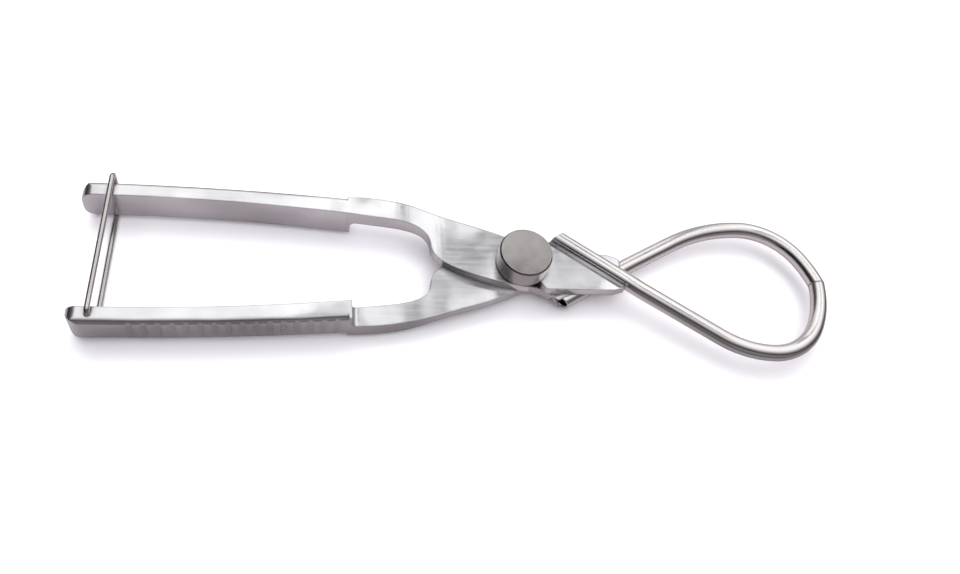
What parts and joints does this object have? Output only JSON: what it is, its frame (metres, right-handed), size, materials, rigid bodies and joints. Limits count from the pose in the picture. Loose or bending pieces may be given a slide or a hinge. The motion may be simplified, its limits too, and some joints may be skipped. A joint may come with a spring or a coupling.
{
  "type": "surgical wire passer",
  "caption": "Two crossing branches held by a clamp knob, with hollow jaws that close in a loop to lead a wire round a bone, and a wire bail that locks the grips.",
  "frame": {"origin": "on the pivot axis, at the back face of the rear branch's plate", "axes": "+X towards the jaws, +Y towards the front branch's grip, +Z along the pivot towards the knob"},
  "size_m": [0.2415, 0.0588, 0.0184],
  "materials": {
    "rear_branch": "satin",
    "front_branch": "satin",
    "rear_jaw_tube": "satin",
    "front_jaw_tube": "satin",
    "pivot_stud": "satin",
    "clamp_knob": "satin",
    "lock_bail": "satin"
  },
  "bodies": {
    "rear": {"rear_branch": "rear_branch", "rear_jaw_tube": "rear_jaw_tube", "pivot_stud": "pivot_stud"},
    "front": {"front_branch": "front_branch", "front_jaw_tube": "front_jaw_tube"},
    "knob": {"clamp_knob": "clamp_knob"},
    "bail": {"lock_bail": "lock_bail"}
  },
  "joints": [
    {"name": "bail_swing", "type": "hinge", "parent": "rear", "child": "bail", "pos_m": [-0.1276, -0.02128, 0.0034], "axis": [0, 0, 1], "range_deg": [0, 262]},
    {"name": "branch_opening", "type": "hinge", "parent": "rear", "child": "front", "pos_m": [0, 0, 0.0034], "axis": [0, 0, -1], "range_deg": [0, 15]},
    {"name": "knob_turn", "type": "hinge", "parent": "rear", "child": "knob", "pos_m": [0, 0, 0.0104], "axis": [0, 0, 1], "range_deg": [0, 360]}
  ],
  "couplings": [
    {"joint": "branch_opening", "follows": "bail_swing", "ratio": 0.05725}
  ]
}
